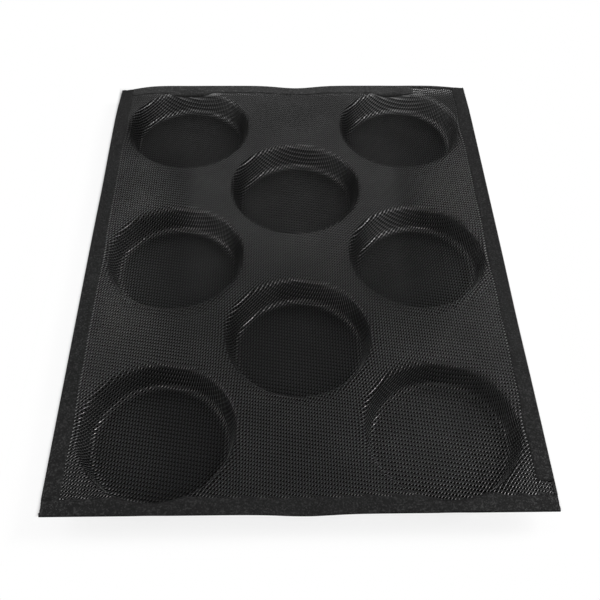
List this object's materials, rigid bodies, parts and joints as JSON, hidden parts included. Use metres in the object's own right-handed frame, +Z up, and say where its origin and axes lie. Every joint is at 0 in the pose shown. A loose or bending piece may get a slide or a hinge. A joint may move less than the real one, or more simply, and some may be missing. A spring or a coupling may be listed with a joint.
{
  "type": "hamburger bun pan",
  "caption": "Flexible black mesh baking sheet with round flat-floored cups for hamburger buns and strip bindings folded over its edges.",
  "frame": {"origin": "middle of the sheet's outline, at the height of the undersides of the cups, on which it rests", "axes": "+X to the right, +Y from the front edge to the back edge, along the long side, +Z up out of the cups"},
  "size_m": [0.3, 0.4, 0.0195],
  "materials": {
    "mesh": "open glass-fibre weave coated in black silicone, satin",
    "binding": "smooth black silicone strip, dull satin"
  },
  "bodies": {
    "root": {"mesh_sheet": "mesh", "binding_left": "binding", "binding_right": "binding", "binding_front": "binding", "binding_back": "binding"}
  },
  "joints": []
}
